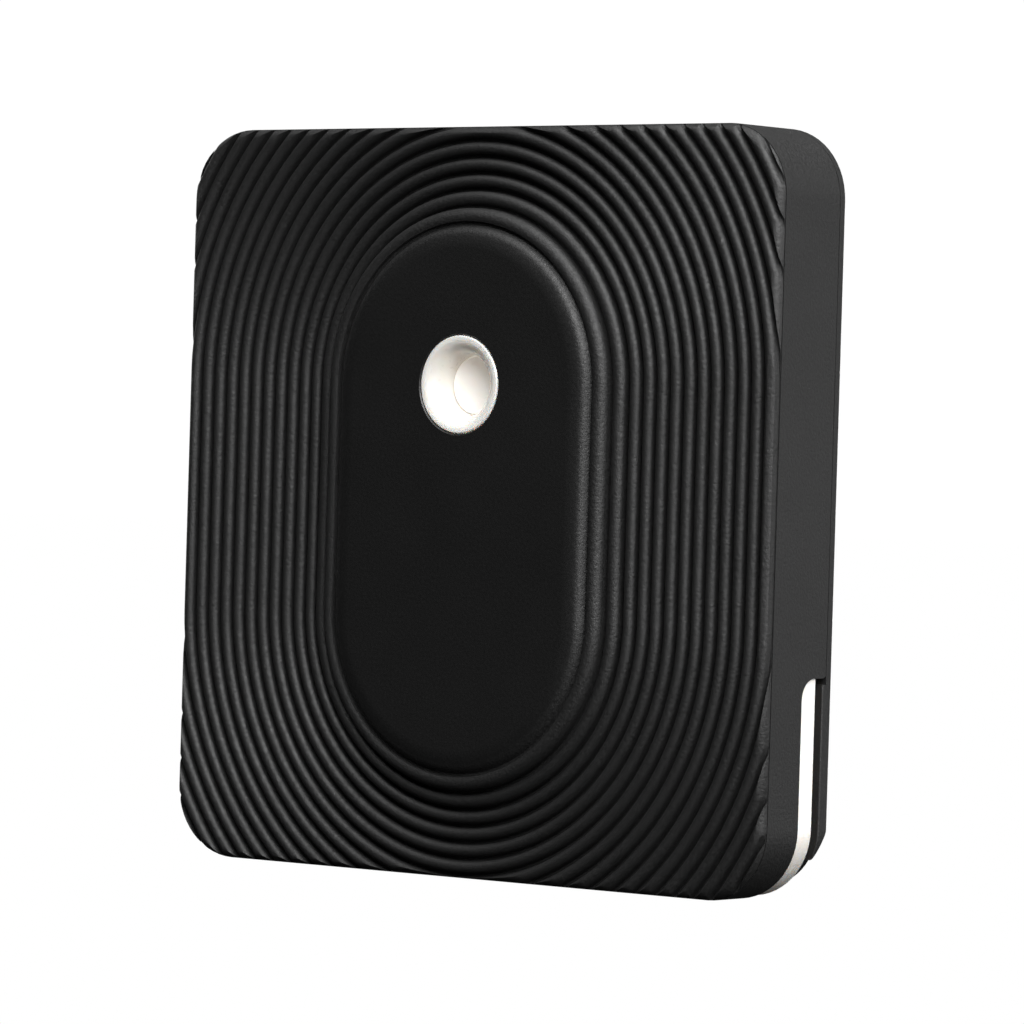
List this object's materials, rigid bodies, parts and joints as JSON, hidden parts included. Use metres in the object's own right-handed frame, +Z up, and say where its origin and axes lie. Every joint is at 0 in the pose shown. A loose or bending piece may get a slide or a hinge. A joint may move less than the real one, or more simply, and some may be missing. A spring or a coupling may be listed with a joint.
{
  "type": "temperature humidity sensor",
  "caption": "Flat square coin-cell temperature and humidity sensor with a raised stadium plate ringed by concentric beads, a recessed button, a pry notch and a snap-off back",
  "frame": {"origin": "centre of the flat back face, the face that lies on a shelf or is stuck to a wall", "axes": "+Z up, +Y out of the back face, -Y out of the front, +X to the right seen from the front"},
  "size_m": [0.036, 0.006, 0.036],
  "materials": {
    "black_plastic": "fine spark-eroded grain, matte black",
    "white_plastic": "smooth translucent white",
    "switch_plastic": "moulded black",
    "switch_sheet": "thin bright sheet",
    "board": "green solder mask over glass laminate",
    "chip_resin": "matte moulding resin",
    "ceramic_part": "fired ceramic",
    "antenna_ceramic": "white fired ceramic",
    "led_resin": "clear yellowish resin",
    "gilded_pad": "gilded copper",
    "contact_steel": "nickel plated spring strip",
    "cell_steel": "nickel plated can"
  },
  "bodies": {
    "case": {"front_cover": "black_plastic", "light_guide_frame": "white_plastic", "tact_switch_body": "switch_plastic", "tact_switch_cover": "switch_sheet", "circuit_board": "board", "radio_chip": "chip_resin", "main_crystal": "switch_sheet", "watch_crystal": "ceramic_part", "chip_antenna": "antenna_ceramic", "humidity_sensor": "chip_resin", "status_led": "led_resin", "chip_capacitors": "ceramic_part", "chip_resistors": "chip_resin", "programming_pads": "gilded_pad", "battery_positive_clip": "contact_steel", "battery_negative_spring": "contact_steel"},
    "button": {"control_button": "white_plastic", "tact_switch_plunger": "switch_plastic"},
    "back": {"back_cover": "black_plastic"},
    "cell": {"battery_can": "cell_steel", "battery_cap": "cell_steel"}
  },
  "joints": [
    {"name": "button_press", "type": "slide", "parent": "case", "child": "button", "axis": [0, 1, 0], "range_m": [0, 0.00025], "stiffness_N_per_m": 400},
    {"name": "back_cover_off", "type": "slide", "parent": "case", "child": "back", "axis": [0, 1, 0], "range_m": [0, 0.016]},
    {"name": "cell_out", "type": "slide", "parent": "case", "child": "cell", "axis": [0, 1, 0], "range_m": [0, 0.008]}
  ],
  "couplings": [
    {"joint": "cell_out", "follows": "back_cover_off", "ratio": 0.5}
  ]
}
